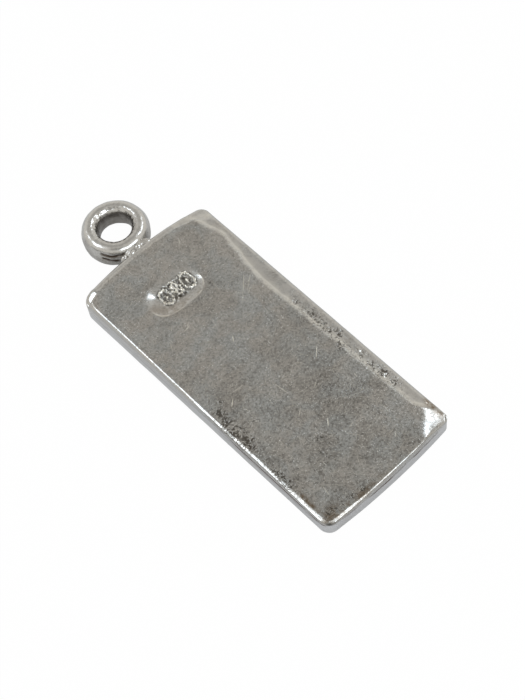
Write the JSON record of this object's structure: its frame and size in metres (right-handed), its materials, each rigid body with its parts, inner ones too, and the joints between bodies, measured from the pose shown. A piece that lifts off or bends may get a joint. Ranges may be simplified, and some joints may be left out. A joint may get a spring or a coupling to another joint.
{
  "type": "pendant",
  "caption": "Small rectangular silver pendant with softly rolled edges, a thick fixed hanging ring on one short end and a struck mark in a shallow dent on its back.",
  "frame": {"origin": "on the resting face, under the middle of the whole pendant with its ring", "axes": "+Y along the plate towards the hanging ring, +X across the plate, +Z out of the back; the pendant lies on its front"},
  "size_m": [0.0122, 0.0324, 0.0022],
  "materials": {
    "worn_silver": "satin silver, worn by rubbing, with fine scratches, pits and brown tarnish",
    "polished_silver": "polished silver with light wear",
    "recessed_silver": "oxidised silver ground, darker in the corners",
    "ring_silver": "polished silver with small worn facets",
    "solder_silver": "flowed silver solder",
    "wire_silver": "drawn silver wire, darkened in the grooves",
    "ball_silver": "fused silver balls, bright on top"
  },
  "bodies": {
    "root": {"back_plate": "worn_silver", "border_rope_far_end": "wire_silver", "border_rope_left": "wire_silver", "border_rope_right": "wire_silver", "border_rope_ring_end": "wire_silver", "boss": "ball_silver", "boss_wire": "wire_silver", "corner_granule_1": "ball_silver", "corner_granule_2": "ball_silver", "corner_granule_3": "ball_silver", "corner_granule_4": "ball_silver", "front_plate": "recessed_silver", "hanging_ring": "ring_silver", "ring_solder": "solder_silver", "rosette_heart_1": "ball_silver", "rosette_heart_2": "ball_silver", "rosette_petal_1": "ball_silver", "rosette_petal_10": "ball_silver", "rosette_petal_11": "ball_silver", "rosette_petal_12": "ball_silver", "rosette_petal_2": "ball_silver", "rosette_petal_3": "ball_silver", "rosette_petal_4": "ball_silver", "rosette_petal_5": "ball_silver", "rosette_petal_6": "ball_silver", "rosette_petal_7": "ball_silver", "rosette_petal_8": "ball_silver", "rosette_petal_9": "ball_silver", "rosette_wire_1": "wire_silver", "rosette_wire_2": "wire_silver", "side_wall": "polished_silver", "spacer_granule_1": "ball_silver", "spacer_granule_2": "ball_silver"}
  },
  "joints": []
}
